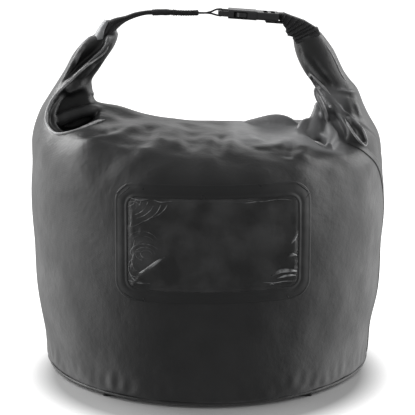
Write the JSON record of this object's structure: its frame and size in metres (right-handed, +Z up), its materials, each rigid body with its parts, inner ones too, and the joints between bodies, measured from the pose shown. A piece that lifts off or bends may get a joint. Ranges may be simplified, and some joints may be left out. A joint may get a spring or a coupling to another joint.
{
  "type": "roll-top dry bag",
  "caption": "Round-based roll-top dry bag of coated fabric with a framed clear window; the rolled collar's ends buckle together into a carrying handle.",
  "frame": {"origin": "on the floor under the middle of the base, at the underside of the base pad", "axes": "+X along the roll and the handle, to the window side's right; -Y towards the window's side; +Z up"},
  "size_m": [0.349, 0.327, 0.3468],
  "materials": {
    "shell_fabric": "satin coated tarpaulin over a fine scrim",
    "frame_vinyl": "satin, moulded and grooved",
    "clear_vinyl": "clear glossy film, slightly wrinkled",
    "pad_rubber": "matt, finely pebbled",
    "stiffener": "matt",
    "buckle_plastic": "satin moulded acetal",
    "webbing": "ribbed woven webbing",
    "cord": "braided cord",
    "thread": "bonded thread"
  },
  "bodies": {
    "bag": {"wall": "shell_fabric", "base_panel": "shell_fabric", "base_weld_rim": "shell_fabric", "base_pad": "pad_rubber", "side_seam": "shell_fabric", "window_frame": "frame_vinyl", "window_pane": "clear_vinyl", "collar_roll": "shell_fabric", "front_stiffener": "stiffener", "rear_stiffener": "stiffener"},
    "handle": {"right_arm": "shell_fabric", "right_webbing": "webbing", "webbing_tail": "webbing", "right_bartack": "thread", "buckle_male": "buckle_plastic"},
    "left_half": {"left_arm": "shell_fabric", "left_bartack": "thread", "left_strap": "webbing", "whipping": "thread", "cord_loop": "cord", "buckle_female": "buckle_plastic"},
    "front_latch": {"latch_arm_front": "buckle_plastic"},
    "rear_latch": {"latch_arm_rear": "buckle_plastic"}
  },
  "joints": [
    {"name": "handle_swing", "type": "hinge", "parent": "bag", "child": "handle", "pos_m": [-0.00502, 0, 0.25557], "axis": [0.9976, 0, -0.0698], "range_deg": [-50, 50]},
    {"name": "buckle_release", "type": "slide", "parent": "handle", "child": "left_half", "axis": [-0.9976, 0, 0.0698], "range_m": [0, 0.034], "deforming": ["latch_arm_front", "latch_arm_rear"]},
    {"name": "front_latch_flex", "type": "hinge", "parent": "handle", "child": "front_latch", "pos_m": [0.04541, -0.008, 0.34026], "axis": [-0.0698, 0, -0.9976], "range_deg": [0, 6], "stiffness_Nm_per_rad": 0.2},
    {"name": "rear_latch_flex", "type": "hinge", "parent": "handle", "child": "rear_latch", "pos_m": [0.04541, 0.008, 0.34026], "axis": [0.0698, 0, 0.9976], "range_deg": [0, 6], "stiffness_Nm_per_rad": 0.2}
  ]
}
